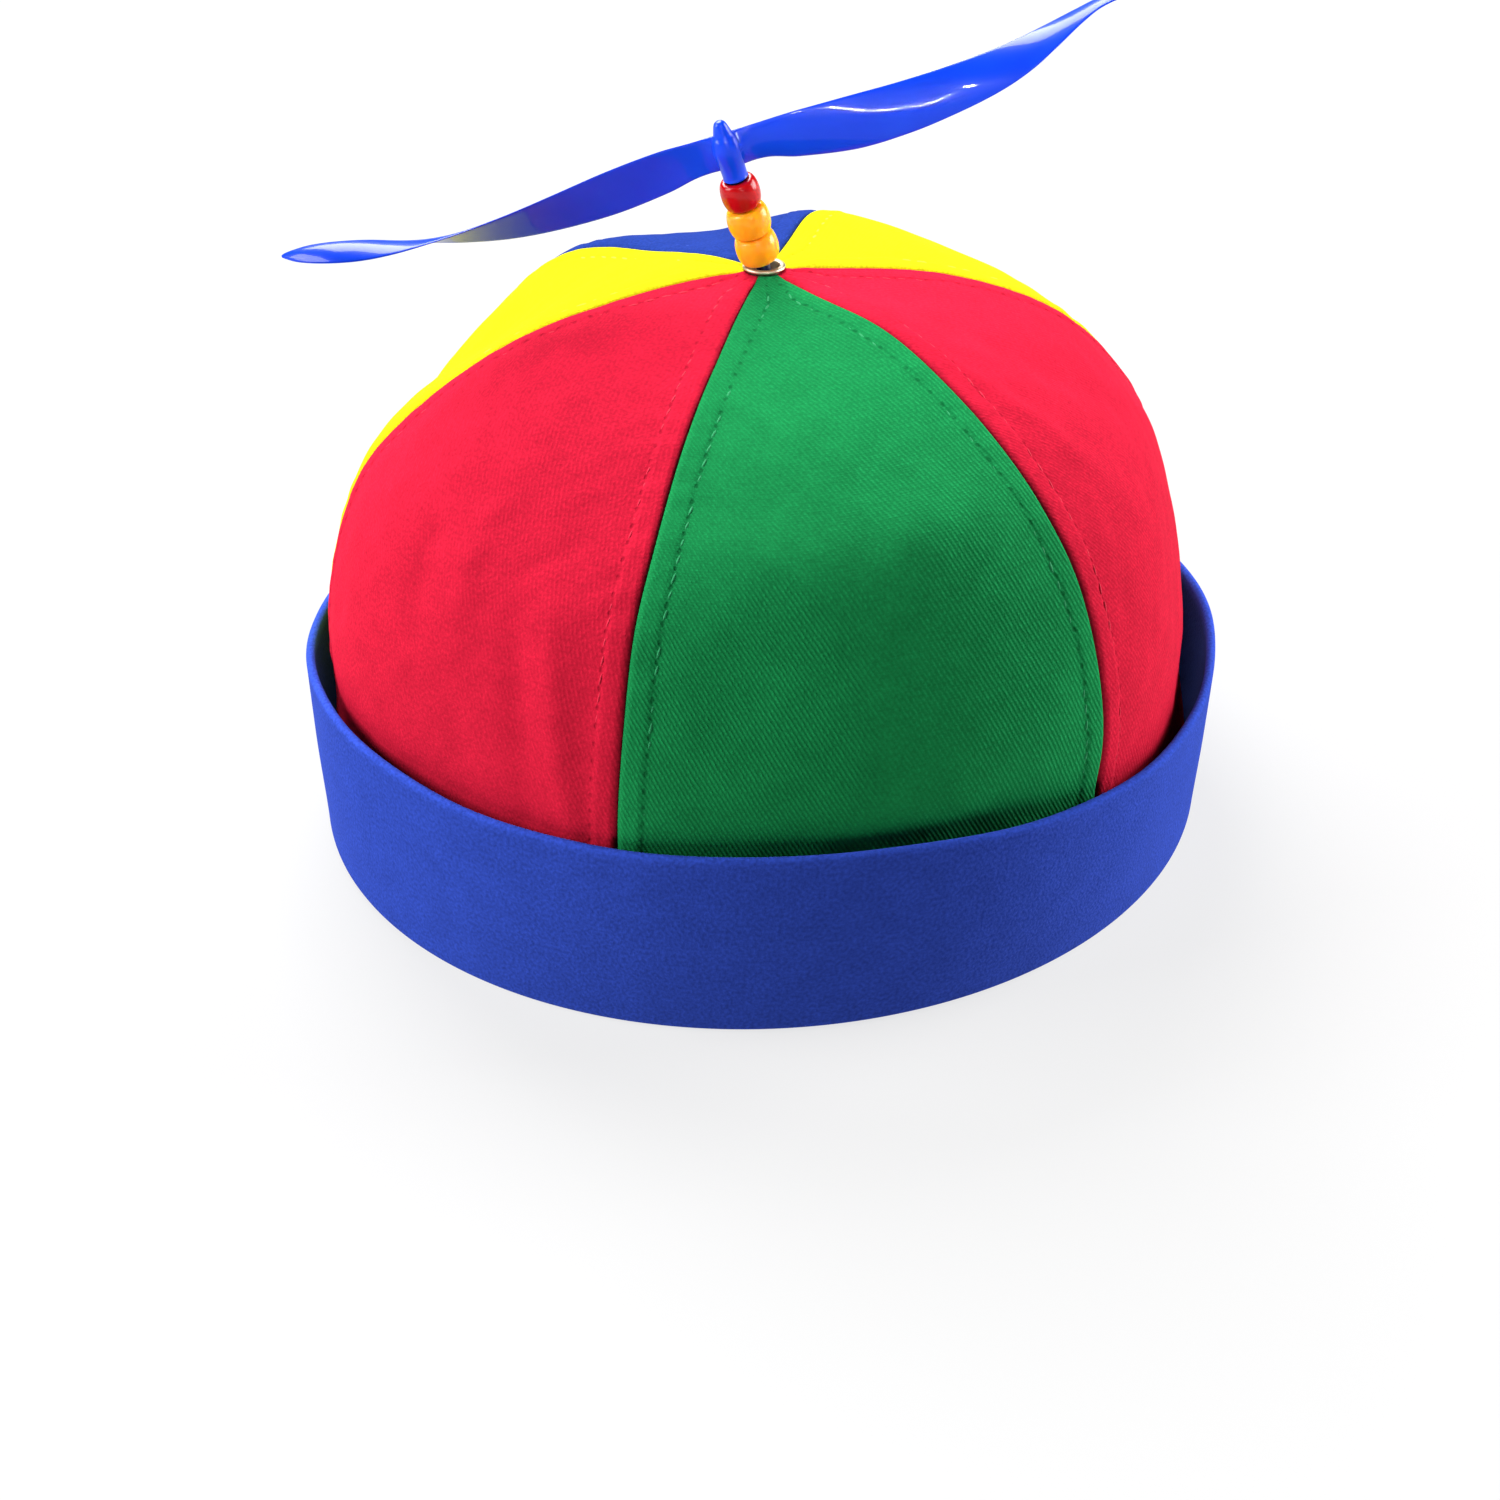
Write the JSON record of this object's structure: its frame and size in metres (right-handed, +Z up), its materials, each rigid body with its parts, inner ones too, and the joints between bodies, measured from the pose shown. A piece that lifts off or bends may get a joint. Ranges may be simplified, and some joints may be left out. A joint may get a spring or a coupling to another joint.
{
  "type": "propeller beanie",
  "caption": "Round panelled cotton cap with a turned-up cuff, a metal eyelet and a beaded post that carries a spinning propeller.",
  "frame": {"origin": "centre of the hat's base on the surface that it stands on", "axes": "+Z up, the green front panel faces -Y, +X towards the wearer's left"},
  "size_m": [0.1944, 0.1944, 0.1734],
  "materials": {
    "cotton_green": "dyed cotton twill",
    "cotton_red": "dyed cotton twill",
    "cotton_yellow": "dyed cotton twill",
    "cotton_blue": "dyed cotton twill",
    "cotton_cuff": "dyed cotton twill, folded double",
    "eyelet_metal": "pale plated brass, rolled edge",
    "post_plastic": "moulded blue plastic",
    "bead_orange": "glossy moulded plastic, slightly translucent",
    "bead_red": "glossy moulded plastic",
    "propeller_plastic": "glossy moulded blue plastic"
  },
  "bodies": {
    "hat": {"panel_green_front": "cotton_green", "panel_red_right": "cotton_red", "panel_yellow_right": "cotton_yellow", "panel_blue_back": "cotton_blue", "panel_yellow_left": "cotton_yellow", "panel_red_left": "cotton_red", "cuff": "cotton_cuff", "eyelet": "eyelet_metal", "post": "post_plastic", "bead_orange_lower": "bead_orange", "bead_orange_upper": "bead_orange", "bead_red": "bead_red"},
    "propeller": {"propeller": "propeller_plastic"}
  },
  "joints": [
    {"name": "propeller_spin", "type": "hinge", "parent": "hat", "child": "propeller", "pos_m": [-0.00783, -0.00305, 0.14417], "axis": [-0.2879, -0.1123, 0.9511], "continuous": true}
  ]
}
